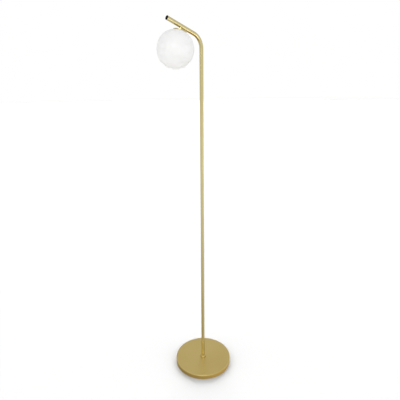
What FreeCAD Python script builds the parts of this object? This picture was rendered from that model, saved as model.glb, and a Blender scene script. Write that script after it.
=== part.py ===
"""Globe floor lamp: round weighted base, slim pole bent over into an arm, opal globe under the arm.

The frame has its origin on the floor under the middle of the base, with +Z up. The pole stands on
the Z axis, the arm points to -X, and the cable inlet is at the back of the base, to +X.
"""
import FreeCAD, Part
import math
import os
import Sketcher
from FreeCAD import Placement, Rotation, Vector

SIZES = (
    # Pole and arm
    ("tube_diameter", 16.0, "outside of the pole and of the arm"),
    ("tube_wall", 1.2, "wall of every tube"),
    ("tube_end_chamfer", 0.3, "bevel round each tube end that meets another tube"),
    ("lower_tube_length", 500.0, "lower pole tube"),
    ("middle_tube_length", 500.0, "middle pole tube"),
    ("corner_height", 1558.3, "floor to the point where the pole's axis meets the arm's axis"),
    ("bend_radius", 56.0, "radius of the bend, at the middle of the tube"),
    ("arm_slope", 19.5, "rise of the arm above the horizontal, in degrees"),
    ("arm_length", 175.4, "corner to the end of the arm's plug"),
    ("insert_length", 24.0, "threaded insert in a tube's end"),
    ("insert_gap", 0.05, "radial gap between an insert and its tube"),
    ("joint_stud_length", 20.0, "hollow stud between two tubes"),
    ("plug_head", 1.5, "head of the arm's end plug"),
    ("plug_depth", 12.0, "how far the plug reaches into the arm"),
    ("plug_gap", 0.3, "radial gap between the plug's core and the tube"),
    # Base
    ("base_diameter", 280.0, "outside of the base cover"),
    ("base_height", 22.0, "floor to the top of the base"),
    ("base_edge_radius", 3.5, "rounded upper edge of the base"),
    ("cover_wall", 1.5, "sheet of the base cover"),
    ("cover_lift", 1.0, "gap between the cover's rim and the floor"),
    ("cover_gap", 0.5, "gap between the cover and what is inside it"),
    ("weight_top_gap", 0.1, "gap between the casting and the top of the cover"),
    ("pad_thickness", 3.0, "foam sheet under the base"),
    ("collar_diameter", 30.0, "ring at the pole's foot"),
    ("collar_height", 7.0, "ring at the pole's foot"),
    ("collar_edge_radius", 5.0, "rounded upper edge of the ring at the pole's foot"),
    ("collar_gap", 0.1, "radial gap between the ring and the pole"),
    ("stud_diameter", 10.0, "hollow stud in the base and in the pole's joints"),
    ("stud_bore", 7.2, "wire way through those studs"),
    ("stud_engagement", 20.0, "how far the base stud reaches into the pole"),
    ("thread_gap", 0.05, "radial gap at every thread"),
    ("hole_gap", 0.2, "radial gap at every clearance hole"),
    ("nut_recess_diameter", 40.0, "pocket round the base nut"),
    ("nut_seat_height", 14.2, "floor to the face that the base washer presses on"),
    ("washer_diameter", 30.0, "base washer"),
    ("washer_thickness", 1.5, "base washer"),
    ("nut_across_flats", 16.0, "base nut"),
    ("nut_thickness", 3.8, "base nut"),
    # Wiring pocket in the base
    ("pocket_near", 14.0, "pole axis to the near wall of the wiring pocket"),
    ("pocket_far", 72.0, "pole axis to the far wall of the wiring pocket"),
    ("pocket_width", 48.0, "wiring pocket"),
    ("pocket_roof_height", 16.5, "floor to the roof of the wiring pocket"),
    ("channel_width", 13.0, "channel from the cable inlet to the pocket"),
    ("plate_near", -24.0, "pole axis to the near edge of the wiring cover"),
    ("plate_far", 84.0, "pole axis to the far edge of the wiring cover"),
    ("plate_width", 56.0, "wiring cover"),
    ("plate_thickness", 1.0, "wiring cover"),
    ("plate_gap", 0.3, "gap round the wiring cover"),
    ("plate_screw_near", -18.5, "pole axis to the near screws of the wiring cover"),
    ("plate_screw_far", 78.0, "pole axis to the far screws of the wiring cover"),
    ("plate_screw_spread", 44.0, "distance between two screws across the wiring cover"),
    ("screw_diameter", 3.0, "small screws"),
    ("screw_head_diameter", 5.5, "small screws"),
    ("screw_head_height", 1.7, "small screws"),
    ("screw_length", 6.0, "thread of the small screws"),
    ("screw_head_gap", 0.2, "gap between the heads of the small screws and the foam sheet"),
    ("slot_width", 0.8, "screwdriver slots"),
    ("inlet_height", 9.5, "floor to the axis of the cable inlet"),
    ("inlet_bore", 7.0, "hole for the supply cord"),
    ("bush_neck_diameter", 10.6, "cable bush in the cover's wall"),
    ("bush_flange_diameter", 14.0, "outer flange of the cable bush"),
    ("bush_flange", 1.6, "thickness of the outer flange"),
    ("bush_barb_diameter", 12.0, "inner end of the cable bush"),
    ("bush_length", 12.0, "cable bush"),
    ("block_near", 44.0, "pole axis to the terminal block"),
    ("block_length", 18.0, "terminal block along the wires"),
    ("block_width", 30.0, "terminal block across the wires"),
    ("block_height", 9.0, "terminal block"),
    ("pole_pitch", 9.0, "spacing of the three terminals"),
    ("clamp_diameter", 5.0, "brass clamp of a terminal"),
    ("clamp_bore", 2.6, "wire way of a clamp"),
    ("clamp_screw_diameter", 2.5, "screws of the terminal block"),
    ("clamp_screw_inset", 4.5, "end of the terminal block to its screws"),
    ("earth_across", 24.0, "pole axis to the earth screw, to the back"),
    ("earth_aside", 19.0, "pole axis to the earth screw, sideways"),
    ("earth_screw_diameter", 4.0, "earth screw"),
    ("earth_screw_length", 3.6, "thread of the earth screw"),
    ("earth_head_diameter", 7.6, "earth screw"),
    ("earth_head_height", 2.4, "earth screw"),
    ("tag_diameter", 8.4, "ring of the earth tag"),
    ("tag_thickness", 0.8, "sheet of the earth tag"),
    ("tag_tongue_width", 2.7, "tongue between the ring and the barrel of the earth tag"),
    ("tag_barrel_diameter", 3.4, "crimp barrel of the earth tag"),
    ("tag_barrel_length", 5.0, "crimp barrel of the earth tag"),
    # Wires
    ("wire_diameter", 1.9, "insulated single wires"),
    ("wire_spacing", 2.3, "distance between the two wires in the pole"),
    ("wire_bend", 5.0, "bend radius where a wire turns into a stud or the head"),
    ("wire_sweep", 10.0, "bend radius of the wires in the base"),
    ("wire_fan_bend", 2.5, "bend radius where the wires part in the lampholder"),
    ("wire_fan_start", 1.2, "end of the head's threaded tube to where the wires part"),
    ("wire_fan_end", 2.5, "where the wires have parted to the contacts"),
    ("wire_lift", 0.35, "gap between the wires and the wiring cover"),
    ("wire_end_inset", 1.5, "end of a wire to the axis of the screw that clamps it"),
    ("earth_bend", 4.0, "bend radius of the earth wire"),
    ("earth_straight_tag", 2.2, "straight start of the earth wire at its tag"),
    ("earth_straight_block", 2.8, "straight end of the earth wire at the terminal block"),
    # Head
    ("head_reach", 105.5, "corner to the head's axis, along the arm"),
    ("globe_drop", 88.4, "arm's axis to the middle of the globe"),
    ("globe_diameter", 142.8, "outside of the glass"),
    ("glass_wall", 3.0, "opal glass"),
    ("mouth_diameter", 40.0, "hole in the top of the glass"),
    ("cap_diameter", 54.0, "domed cap"),
    ("cap_lift", 3.0, "glass to the outside of the cap"),
    ("cap_wall", 1.0, "sheet of the cap"),
    ("cap_rim_gap", 0.35, "gap between the cap's rim and the glass"),
    ("gasket_inner_diameter", 43.0, "silicone ring"),
    ("gasket_outer_diameter", 51.0, "silicone ring"),
    ("gasket_gap", 0.05, "gap on either side of the silicone ring"),
    ("stem_diameter", 10.0, "visible stem under the arm"),
    ("nipple_diameter", 8.0, "hollow threaded tube in the head"),
    ("nipple_bore", 5.6, "wire way through the hollow threaded tube"),
    ("nipple_top", 3.2, "arm's axis to the upper end of the threaded tube"),
    ("cross_nut_length", 18.0, "threaded slug inside the arm"),
    ("head_hub_diameter", 18.0, "middle of the globe spring"),
    ("spring_thickness", 0.6, "sheet of the globe spring"),
    ("spring_width", 7.0, "leg of the globe spring"),
    ("spring_neck_gap", 1.2, "gap between a spring leg and the mouth of the glass"),
    ("spring_foot_reach", 2.2, "how far a spring leg reaches under the glass"),
    ("head_nut_flats", 11.0, "nut in the head"),
    ("head_nut_thickness", 3.5, "nut in the head"),
    ("holder_plate_thickness", 2.0, "steel plate on the lampholder"),
    ("holder_diameter", 21.0, "ceramic lampholder"),
    ("holder_height", 20.0, "ceramic lampholder"),
    ("holder_chamber_depth", 7.0, "wiring chamber in the top of the lampholder"),
    ("holder_chamber_diameter", 14.0, "wiring chamber in the top of the lampholder"),
    ("holder_screw_spread", 17.0, "distance between the lampholder's screws"),
    ("holder_screw_diameter", 2.0, "lampholder's screws"),
    ("holder_head_diameter", 3.4, "heads of the lampholder's screws"),
    ("holder_head_height", 1.2, "heads of the lampholder's screws"),
    ("holder_screw_length", 7.0, "lampholder's screws"),
    ("pin_pitch", 9.0, "distance between the bulb's pins"),
    ("pin_diameter", 1.2, "bulb's pins"),
    ("pin_length", 7.0, "bulb's pins"),
    ("contact_diameter", 3.0, "spring contact in the lampholder"),
    ("contact_length", 12.0, "spring contact in the lampholder"),
    ("contact_wall", 0.5, "spring contact in the lampholder"),
    ("contact_gap", 0.1, "gap round each contact"),
    ("contact_rise", 1.0, "how far a contact stands up in the wiring chamber"),
    ("bulb_base_diameter", 16.0, "bulb's ceramic base"),
    ("bulb_base_height", 8.0, "bulb's ceramic base"),
    ("bulb_length", 34.0, "bulb's envelope"),
    ("bulb_diameter", 14.0, "bulb's envelope"),
    ("bulb_wall", 1.0, "bulb's envelope"),
)
SCREW_HEAD_OVERCUT = 1.0
CLEAR_CUT = 1.0
PLUG_RIBS = 3
SPRING_LEGS = 3


class Size:
    """A length or angle: its value, and the expression that works it out from the spreadsheet."""

    def __init__(self, value, text):
        self.value = value
        self.text = text

    def _with(self, other, sign, value):
        return Size(value, "(%s %s %s)" % (self.text, sign, size(other).text))

    def __add__(self, other):
        return self._with(other, "+", self.value + size(other).value)

    def __sub__(self, other):
        return self._with(other, "-", self.value - size(other).value)

    def __mul__(self, other):
        return self._with(other, "*", self.value * size(other).value)

    def __truediv__(self, other):
        return self._with(other, "/", self.value / size(other).value)

    def __radd__(self, other):
        return size(other) + self

    def __rmul__(self, other):
        return size(other) * self

    def __neg__(self):
        return Size(-self.value, "(0 - %s)" % self.text)


def size(number):
    """The number as a Size, if it isn't one already."""
    return number if isinstance(number, Size) else Size(float(number), repr(float(number)))


def root(length):
    return Size(math.sqrt(length.value), "sqrt(%s)" % length.text)


def sine(angle):
    return Size(math.sin(math.radians(angle.value)), "sin(%s)" % angle.text)


def cosine(angle):
    return Size(math.cos(math.radians(angle.value)), "cos(%s)" % angle.text)


def tangent(angle):
    return Size(math.tan(math.radians(angle.value)), "tan(%s)" % angle.text)


doc = FreeCAD.newDocument("globe_floor_lamp")
sheet = doc.addObject("Spreadsheet::Sheet", "Sizes")
given = {}
for row, (alias, number, meaning) in enumerate(SIZES, start=1):
    sheet.set("A%d" % row, alias)
    sheet.set("B%d" % row, str(number))
    sheet.set("C%d" % row, meaning)
    sheet.setAlias("B%d" % row, alias)
doc.recompute()
for alias, number, meaning in SIZES:
    given[alias] = Size(float(sheet.get(alias)), "Sizes." + alias)

nodes = []


# ---- Helpers -------------------------------------------------------------------------------

def bind(item, prop, length):
    """Sets a property from a size, and keeps it tied to the sheet."""
    length = size(length)
    setattr(item, prop, length.value)
    item.setExpression(prop, length.text)


def node(item, label):
    """Names a finished piece."""
    item.Label = label
    nodes.append(item)
    return item


def place(item, x=0, y=0, z=0, turn=None):
    """Puts an item at a point tied to the sheet, after a fixed turn."""
    spot = [size(value) for value in (x, y, z)]
    item.Placement = Placement(Vector(*[value.value for value in spot]), turn or Rotation())
    for axis, value in zip("xyz", spot):
        item.setExpression("Placement.Base." + axis, value.text)
    return item


ALONG_X = Rotation(Vector(0, 1, 0), 90)


def cylinder(name, radius, height, x=0, y=0, z=0, turn=None):
    item = doc.addObject("Part::Cylinder", name)
    bind(item, "Radius", radius)
    bind(item, "Height", height)
    return place(item, x, y, z, turn)


def sphere(name, radius, z=0):
    item = doc.addObject("Part::Sphere", name)
    bind(item, "Radius", radius)
    return place(item, z=z)


def box(name, length, width, height, x=0, z=0, y=0):
    """A box that starts at x and z and is centred on y."""
    item = doc.addObject("Part::Box", name)
    bind(item, "Length", length)
    bind(item, "Width", width)
    bind(item, "Height", height)
    return place(item, x, size(y) - size(width) / 2, z)


def cut(name, base, *tools):
    """The base without its tools."""
    item = doc.addObject("Part::Cut", name)
    item.Base = base
    item.Tool = tools[0] if len(tools) == 1 else fuse(name + "_tools", *tools)
    return item


def fuse(name, *items):
    item = doc.addObject("Part::MultiFuse", name)
    item.Shapes = list(items)
    return item


def common(name, *items):
    item = doc.addObject("Part::MultiCommon", name)
    item.Shapes = list(items)
    return item


def group(name, items):
    """Separate solids that share one node."""
    item = doc.addObject("Part::Compound", name)
    item.Links = list(items)
    return item


def ring(name, outer, inner, height, x=0, y=0, z=0, turn=None):
    """A plain tube, washer or ring."""
    solid = cylinder(name + "_outside", outer, height)
    hole = cylinder(name + "_hole", inner, size(height) + 2 * CLEAR_CUT, z=-CLEAR_CUT)
    return place(cut(name, solid, hole), x, y, z, turn)


def hex_nut(name, across_flats, bore_radius, height, z=0):
    blank = doc.addObject("Part::Prism", name + "_blank")
    blank.Polygon = 6
    bind(blank, "Circumradius", size(across_flats) / math.sqrt(3))
    bind(blank, "Height", height)
    hole = cylinder(name + "_hole", bore_radius, size(height) + 2 * CLEAR_CUT, z=-CLEAR_CUT)
    return place(cut(name, blank, hole), z=z)


def slotted_screw(name, radius, length, head_radius, head_height):
    """A screw with its head below the origin, and its thread above it."""
    head = cylinder(name + "_head", head_radius, head_height, z=-size(head_height))
    thread = cylinder(name + "_thread", radius, length)
    slot = box(
        name + "_slot",
        size(head_radius) * 2 + 2 * SCREW_HEAD_OVERCUT,
        given["slot_width"],
        size(head_height) / 2 + SCREW_HEAD_OVERCUT,
        x=-size(head_radius) - SCREW_HEAD_OVERCUT,
        z=-size(head_height) - SCREW_HEAD_OVERCUT,
    )
    return cut(name, fuse(name + "_body", head, thread), slot)


def copies(name, source, spots):
    """One placed copy of a piece for each spot."""
    made = []
    for index, spot in enumerate(spots):
        link = doc.addObject("Part::Compound", "%s_%d" % (name, index + 1))
        link.Links = [source]
        made.append(place(link, *spot))
    return made


def origin_plane(body, role):
    for item in body.Origin.OriginFeatures:
        if item.Role == role:
            return item
    raise RuntimeError("no plane " + role)


def outline(sketch, corners, closed=True):
    """Draws an outline through its corners, each held by the sheet.

    A corner is (across, up), reached by a straight edge, or
    (across, up, radius, centre across, centre up), reached by an arc.
    """
    count = len(corners)
    ends = []
    for index in range(count if closed else count - 1):
        first = corners[index]
        second = corners[(index + 1) % count]
        start = Vector(size(first[0]).value, size(first[1]).value, 0)
        stop = Vector(size(second[0]).value, size(second[1]).value, 0)
        if len(second) == 2:
            sketch.addGeometry(Part.LineSegment(start, stop), False)
        else:
            centre = Vector(size(second[3]).value, size(second[4]).value, 0)
            middle = (start + stop) * 0.5 - centre
            middle = centre + middle * (size(second[2]).value / middle.Length)
            sketch.addGeometry(Part.Arc(start, middle, stop), False)
        in_order = (sketch.getPoint(index, 1) - start).Length < (sketch.getPoint(index, 1) - stop).Length
        ends.append((1, 2) if in_order else (2, 1))
    for index in range(count if closed else count - 2):
        following = (index + 1) % count
        sketch.addConstraint(
            Sketcher.Constraint("Coincident", index, ends[index][1], following, ends[following][0])
        )
    for index, corner in enumerate(corners):
        last = not closed and index == count - 1
        edge = index - 1 if last else index
        vertex = ends[edge][1] if last else ends[edge][0]
        for kind, value in zip(("DistanceX", "DistanceY"), corner[:2]):
            held = size(value)
            number = sketch.addConstraint(
                Sketcher.Constraint(kind, -1, 1, edge, vertex, held.value)
            )
            sketch.setExpression("Constraints[%d]" % number, held.text)
        if len(corner) > 2:
            arc = (index - 1) % count
            number = sketch.addConstraint(
                Sketcher.Constraint("Radius", arc, size(corner[2]).value)
            )
            sketch.setExpression("Constraints[%d]" % number, size(corner[2]).text)


def turned(name, corners, plane_role="XZ_Plane"):
    """A body turned about its own Z axis from an outline of (radius, height) corners."""
    body = doc.addObject("PartDesign::Body", name)
    sketch = body.newObject("Sketcher::SketchObject", name + "_outline")
    sketch.AttachmentSupport = [(origin_plane(body, plane_role), "")]
    sketch.MapMode = "FlatFace"
    outline(sketch, corners)
    turn = body.newObject("PartDesign::Revolution", name + "_turn")
    turn.Profile = sketch
    turn.ReferenceAxis = (sketch, ["V_Axis"])
    turn.Angle = 360
    body.Tip = turn
    return body


def rounded_wire(points, radii):
    """Straight runs between the points, with an arc of the given radius at each inner point."""
    edges = []
    here = points[0]
    for before, corner, after, radius in zip(points, points[1:], points[2:], radii):
        to_corner = (corner - before).normalize()
        from_corner = (after - corner).normalize()
        turn = to_corner.getAngle(from_corner)
        setback = radius * math.tan(turn / 2)
        start = corner - to_corner * setback
        stop = corner + from_corner * setback
        inward = (from_corner - to_corner).normalize()
        middle = corner + inward * (radius / math.cos(turn / 2) - radius)
        edges.append(Part.LineSegment(here, start).toShape())
        edges.append(Part.Arc(start, middle, stop).toShape())
        here = stop
    edges.append(Part.LineSegment(here, points[-1]).toShape())
    return Part.Wire(edges)


def wire_solid(label, points, radii, diameter):
    """An insulated wire along its route."""
    route = rounded_wire(points, radii)
    start = points[0]
    section = Part.Wire(Part.Circle(start, points[1] - start, diameter / 2).toShape())
    solid = route.makePipeShell([section], True, False)
    drawn = math.pi * diameter ** 2 / 4 * route.Length
    if abs(solid.Volume - drawn) > 0.01 * drawn:
        raise RuntimeError("%s: volume %.1f, expected %.1f" % (label, solid.Volume, drawn))
    print("%s: %.0f mm long" % (label, route.Length))
    item = doc.addObject("Part::Feature", label)
    item.Shape = solid
    item.Placement = Placement()
    return node(item, label)


# ---- Sizes worked out from the sheet -------------------------------------------------------

tube_radius = given["tube_diameter"] / 2
tube_inner = tube_radius - given["tube_wall"]
insert_radius = tube_inner - given["insert_gap"]
stud_radius = given["stud_diameter"] / 2
stud_thread = stud_radius + given["thread_gap"]
stud_hole = stud_radius + given["hole_gap"]
wire_radius = given["wire_diameter"] / 2

base_radius = given["base_diameter"] / 2
cover_inner = base_radius - given["cover_wall"]
weight_radius = cover_inner - given["cover_gap"]
cover_underside = given["base_height"] - given["cover_wall"]

slope = given["arm_slope"]
bend_setback = given["bend_radius"] * tangent((size(90) - slope) / 2)
lower_joint = given["base_height"] + given["lower_tube_length"]
upper_joint = lower_joint + given["middle_tube_length"]
bend_start = given["corner_height"] - bend_setback
arm_end = given["arm_length"] - given["plug_head"]

screw_radius = given["screw_diameter"] / 2
plate_underside = given["pad_thickness"] + given["screw_head_gap"] + given["screw_head_height"]
plate_seat = plate_underside + given["plate_thickness"]
wire_floor = plate_seat + given["wire_lift"] + wire_radius
washer_bottom = given["nut_seat_height"] - given["washer_thickness"]
nut_bottom = washer_bottom - given["nut_thickness"]
base_stud_bottom = nut_bottom - given["hole_gap"] / 2
block_bottom = given["pocket_roof_height"] - given["block_height"]
clamp_height = given["pocket_roof_height"] - given["block_height"] / 2

# Head sizes are drops below the arm's axis, along the head's own axis.
globe_radius = given["globe_diameter"] / 2
glass_inner = globe_radius - given["glass_wall"]
mouth_radius = given["mouth_diameter"] / 2
cap_outer = globe_radius + given["cap_lift"]
cap_inner = cap_outer - given["cap_wall"]
cap_radius = given["cap_diameter"] / 2
nipple_radius = given["nipple_diameter"] / 2
nipple_thread = nipple_radius + given["thread_gap"]
nipple_hole = nipple_radius + given["hole_gap"]
hub_radius = given["head_hub_diameter"] / 2


def drop_at(sphere_radius, radius):
    """The drop of a sphere round the globe's middle, at a radius from the head's axis."""
    return given["globe_drop"] - root(sphere_radius * sphere_radius - radius * radius)


def across_leg(radius):
    """Distance from the head's axis to the corner of a spring leg that reaches a radius."""
    half = given["spring_width"] / 2
    return root(radius * radius + half * half)


cap_rim_drop = drop_at(globe_radius, cap_radius - given["cap_wall"]) - given["cap_rim_gap"]
stem_end_drop = drop_at(cap_outer, nipple_hole) - given["gasket_gap"]
hub_drop = drop_at(cap_inner, across_leg(hub_radius)) + given["gasket_gap"]
head_nut_drop = hub_drop + given["spring_thickness"]
holder_plate_drop = head_nut_drop + given["head_nut_thickness"]
holder_drop = holder_plate_drop + given["holder_plate_thickness"]
holder_end_drop = holder_drop + given["holder_height"]
bulb_drop = holder_end_drop + given["bulb_base_height"]
nipple_end_drop = holder_drop + given["spring_thickness"]
contact_drop = holder_drop + given["holder_chamber_depth"] - given["contact_rise"]
holder_radius = given["holder_diameter"] / 2


# ---- Base ----------------------------------------------------------------------------------

def base_cover():
    """Spun steel shell, open below, with a rounded upper edge and a hole for the cable bush."""
    edge = given["base_edge_radius"]
    wall = given["cover_wall"]
    shoulder = given["base_height"] - edge
    edge_start = base_radius - edge
    shell = turned("cover_shell", [
        (base_radius, given["cover_lift"]),
        (base_radius, shoulder),
        (edge_start, given["base_height"], edge, edge_start, shoulder),
        (stud_hole, given["base_height"]),
        (stud_hole, cover_underside),
        (edge_start, cover_underside),
        (cover_inner, shoulder, edge - wall, edge_start, shoulder),
        (cover_inner, given["cover_lift"]),
    ])
    inlet = cylinder(
        "cover_inlet",
        given["bush_neck_diameter"] / 2 + given["hole_gap"],
        wall + 2 * given["bush_length"],
        x=base_radius - given["bush_length"],
        z=given["inlet_height"],
        turn=ALONG_X,
    )
    node(cut("cover", shell, inlet), "base_cover")


def plate_screw_spots():
    aside = given["plate_screw_spread"] / 2
    return [
        (x, y, plate_underside)
        for x in (given["plate_screw_near"], given["plate_screw_far"])
        for y in (-aside, aside)
    ]


def base_weight():
    """Cast disc with the nut recess, wiring pocket and cable channel in its underside."""
    bottom = given["pad_thickness"]
    top = cover_underside - given["weight_top_gap"]
    inner_edge = given["base_edge_radius"] - given["cover_wall"]
    blank = turned("weight_blank", [
        (0, bottom),
        (weight_radius, bottom),
        (weight_radius, top - inner_edge),
        (weight_radius - inner_edge, top, inner_edge, weight_radius - inner_edge, top - inner_edge),
        (0, top),
    ])
    gap = given["plate_gap"]
    below = bottom - CLEAR_CUT
    roof = given["pocket_roof_height"] - below
    tools = [
        cylinder("weight_nut_recess", given["nut_recess_diameter"] / 2,
                 given["nut_seat_height"] - below, z=below),
        cylinder("weight_stud_hole", stud_hole, given["base_height"]),
        box("weight_pocket", given["pocket_far"] - given["pocket_near"], given["pocket_width"],
            roof, x=given["pocket_near"], z=below),
        box("weight_plate_recess", given["plate_far"] - given["plate_near"] + gap * 2,
            given["plate_width"] + gap * 2, plate_seat - below,
            x=given["plate_near"] - gap, z=below),
        box("weight_channel", base_radius - given["pocket_far"] + CLEAR_CUT,
            given["channel_width"], roof, x=given["pocket_far"] - CLEAR_CUT, z=below),
        cylinder("weight_earth_hole", given["earth_screw_diameter"] / 2 + given["thread_gap"],
                 given["earth_screw_length"] + CLEAR_CUT,
                 x=given["earth_across"], y=-given["earth_aside"],
                 z=given["pocket_roof_height"] - CLEAR_CUT),
    ]
    for index, (x, y, z) in enumerate(plate_screw_spots()):
        tools.append(cylinder("weight_screw_hole_%d" % (index + 1),
                              screw_radius + given["thread_gap"],
                              given["screw_length"] + CLEAR_CUT, x=x, y=y, z=z))
    node(cut("weight", blank, *tools), "base_weight")


def floor_pad():
    node(cylinder("pad", cover_inner - given["cover_gap"] * 2, given["pad_thickness"]), "floor_pad")


def foot_collar():
    """Turned ring that hides the joint of pole and base, with a round upper edge."""
    edge = given["collar_edge_radius"]
    outer = given["collar_diameter"] / 2
    inner = tube_radius + given["collar_gap"]
    top = given["collar_height"]
    body = turned("collar", [
        (inner, 0),
        (outer, 0),
        (outer, top - edge),
        (outer - edge, top, edge, outer - edge, top - edge),
        (inner, top),
    ])
    node(place(body, z=given["base_height"]), "foot_collar")


def base_fasteners():
    """Hollow stud that pulls the pole down on the base, with its washer and nut."""
    length = given["base_height"] + given["stud_engagement"] - base_stud_bottom
    node(ring("stud", stud_radius, given["stud_bore"] / 2, length, z=base_stud_bottom), "base_stud")
    node(ring("washer", given["washer_diameter"] / 2, stud_hole, given["washer_thickness"],
              z=washer_bottom), "base_washer")
    node(hex_nut("nut", given["nut_across_flats"], stud_thread, given["nut_thickness"],
                 z=nut_bottom), "base_nut")


def cable_inlet_bush():
    """Snap-in bush: an outer flange, a neck in the cover's wall and a barbed inner end."""
    bore = given["inlet_bore"] / 2
    neck = given["bush_neck_diameter"] / 2
    flange_seat = given["bush_length"] - given["bush_flange"]
    barb_top = flange_seat - given["cover_wall"] - given["cover_gap"]
    body = turned("bush", [
        (bore, 0),
        (neck, 0),
        (given["bush_barb_diameter"] / 2, barb_top),
        (neck, barb_top),
        (neck, flange_seat),
        (given["bush_flange_diameter"] / 2, flange_seat),
        (given["bush_flange_diameter"] / 2, given["bush_length"]),
        (bore, given["bush_length"]),
    ])
    place(body, x=base_radius - flange_seat + given["hole_gap"], z=given["inlet_height"],
          turn=ALONG_X)
    node(body, "cable_inlet_bush")


def wiring_cover():
    """Steel plate that closes the wiring pocket, and its screws."""
    spots = plate_screw_spots()
    sheet_metal = box("plate_blank", given["plate_far"] - given["plate_near"],
                      given["plate_width"], given["plate_thickness"],
                      x=given["plate_near"], z=plate_underside)
    holes = [
        cylinder("plate_hole_%d" % (index + 1), screw_radius + given["hole_gap"],
                 given["plate_thickness"] + 2 * CLEAR_CUT, x=x, y=y, z=z - CLEAR_CUT)
        for index, (x, y, z) in enumerate(spots)
    ]
    node(cut("plate", sheet_metal, *holes), "wiring_cover")
    screw = slotted_screw("plate_screw", screw_radius, given["screw_length"],
                          given["screw_head_diameter"] / 2, given["screw_head_height"])
    node(group("plate_screws", copies("plate_screw_copy", screw, spots)), "wiring_cover_screws")


def terminal_spots():
    """Middle of each terminal across the block: earth, neutral, live."""
    return [-given["pole_pitch"], size(0), given["pole_pitch"]]


def terminal_block():
    """Three-way block with a brass clamp in each way and two screws in each clamp."""
    length = given["block_length"]
    near = given["block_near"]
    clamp_radius = given["clamp_diameter"] / 2
    screw = given["clamp_screw_diameter"] / 2
    wire_way = given["clamp_bore"] / 2
    screw_spots = [
        (x, y)
        for y in terminal_spots()
        for x in (near + given["clamp_screw_inset"], near + length - given["clamp_screw_inset"])
    ]
    screw_length = clamp_height - wire_way - block_bottom
    blank = box("block_blank", length, given["block_width"], given["block_height"],
                x=near, z=block_bottom)
    tools = []
    clamps = []
    for index, y in enumerate(terminal_spots()):
        tools.append(cylinder("block_way_%d" % (index + 1), clamp_radius + given["thread_gap"],
                              length + 2 * CLEAR_CUT, x=near - CLEAR_CUT, y=y, z=clamp_height,
                              turn=ALONG_X))
        clamps.append(ring("clamp_tube_%d" % (index + 1), clamp_radius, wire_way,
                           length - 2 * CLEAR_CUT, x=near + CLEAR_CUT, y=y, z=clamp_height,
                           turn=ALONG_X))
    for index, (x, y) in enumerate(screw_spots):
        tools.append(cylinder("block_screw_way_%d" % (index + 1), screw + given["hole_gap"],
                              given["block_height"] / 2, x=x, y=y, z=block_bottom - CLEAR_CUT))
    node(cut("block", blank, *tools), "terminal_block")
    threads = [
        cylinder("clamp_thread_%d" % (index + 1), screw + given["thread_gap"],
                 clamp_radius + CLEAR_CUT, x=x, y=y, z=clamp_height - clamp_radius - CLEAR_CUT)
        for index, (x, y) in enumerate(screw_spots)
    ]
    node(cut("clamps", group("clamp_tubes", clamps), *threads), "terminal_clamps")
    screws = [
        cylinder("clamp_screw_%d" % (index + 1), screw, screw_length, x=x, y=y, z=block_bottom)
        for index, (x, y) in enumerate(screw_spots)
    ]
    node(group("clamp_screws", screws), "terminal_screws")


def earth_bond():
    """Ring tag under a screw in the roof of the wiring pocket."""
    x = given["earth_across"]
    y = -given["earth_aside"]
    roof = given["pocket_roof_height"]
    thick = given["tag_thickness"]
    radius = given["tag_diameter"] / 2
    barrel = given["tag_barrel_diameter"] / 2
    plate = fuse(
        "tag_blank",
        cylinder("tag_ring", radius, thick, x=x, y=y, z=roof - thick),
        box("tag_tongue", radius + CLEAR_CUT, given["tag_tongue_width"], thick,
            x=x, y=y, z=roof - thick),
        cylinder("tag_barrel", barrel, given["tag_barrel_length"], x=x + radius, y=y,
                 z=roof - barrel, turn=ALONG_X),
    )
    screw_hole = cylinder("tag_hole", given["earth_screw_diameter"] / 2 + given["hole_gap"],
                          thick + 2 * CLEAR_CUT, x=x, y=y, z=roof - thick - CLEAR_CUT)
    wire_hole = cylinder("tag_bore", wire_radius + given["hole_gap"],
                         given["tag_barrel_length"] + CLEAR_CUT,
                         x=x + radius + CLEAR_CUT, y=y, z=roof - barrel, turn=ALONG_X)
    node(cut("tag", plate, screw_hole, wire_hole), "earth_tag")
    screw = slotted_screw("earth_bolt", given["earth_screw_diameter"] / 2,
                          given["earth_screw_length"] + thick - given["hole_gap"],
                          given["earth_head_diameter"] / 2, given["earth_head_height"])
    node(place(screw, x, y, roof - thick), "earth_screw")


# ---- Pole and arm --------------------------------------------------------------------------

def straight_tubes():
    """The two straight lengths of the pole, bevelled at both ends."""
    bevel = given["tube_end_chamfer"]
    for label, length, start in (
        ("lower_tube", given["lower_tube_length"], given["base_height"]),
        ("middle_tube", given["middle_tube_length"], lower_joint),
    ):
        body = turned(label + "_body", [
            (tube_inner, 0),
            (tube_radius - bevel, 0),
            (tube_radius, bevel),
            (tube_radius, length - bevel),
            (tube_radius - bevel, length),
            (tube_inner, length),
        ])
        node(place(body, z=start), label)


def pole_joints():
    """Threaded inserts in the tube ends, and the hollow studs that join them."""
    length = given["insert_length"]
    starts = (
        ("pole_foot_insert", given["base_height"]),
        ("lower_tube_insert", lower_joint - length),
        ("middle_tube_lower_insert", lower_joint),
        ("middle_tube_upper_insert", upper_joint - length),
        ("upper_tube_insert", upper_joint),
    )
    for label, start in starts:
        node(ring(label + "_ring", insert_radius, stud_thread, length, z=start), label)
    for label, seam in (("lower_joint_stud", lower_joint), ("upper_joint_stud", upper_joint)):
        half = given["joint_stud_length"] / 2
        node(ring(label + "_ring", stud_radius, given["stud_bore"] / 2,
                  given["joint_stud_length"], z=seam - half), label)


def arm_point(along, drop=0):
    """Across and up of a point at a distance along the arm and a drop below it."""
    drop = size(drop)
    along = size(along)
    across = -(along * cosine(slope)) - drop * sine(slope)
    up = given["corner_height"] + along * sine(slope) - drop * cosine(slope)
    return across, up


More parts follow.
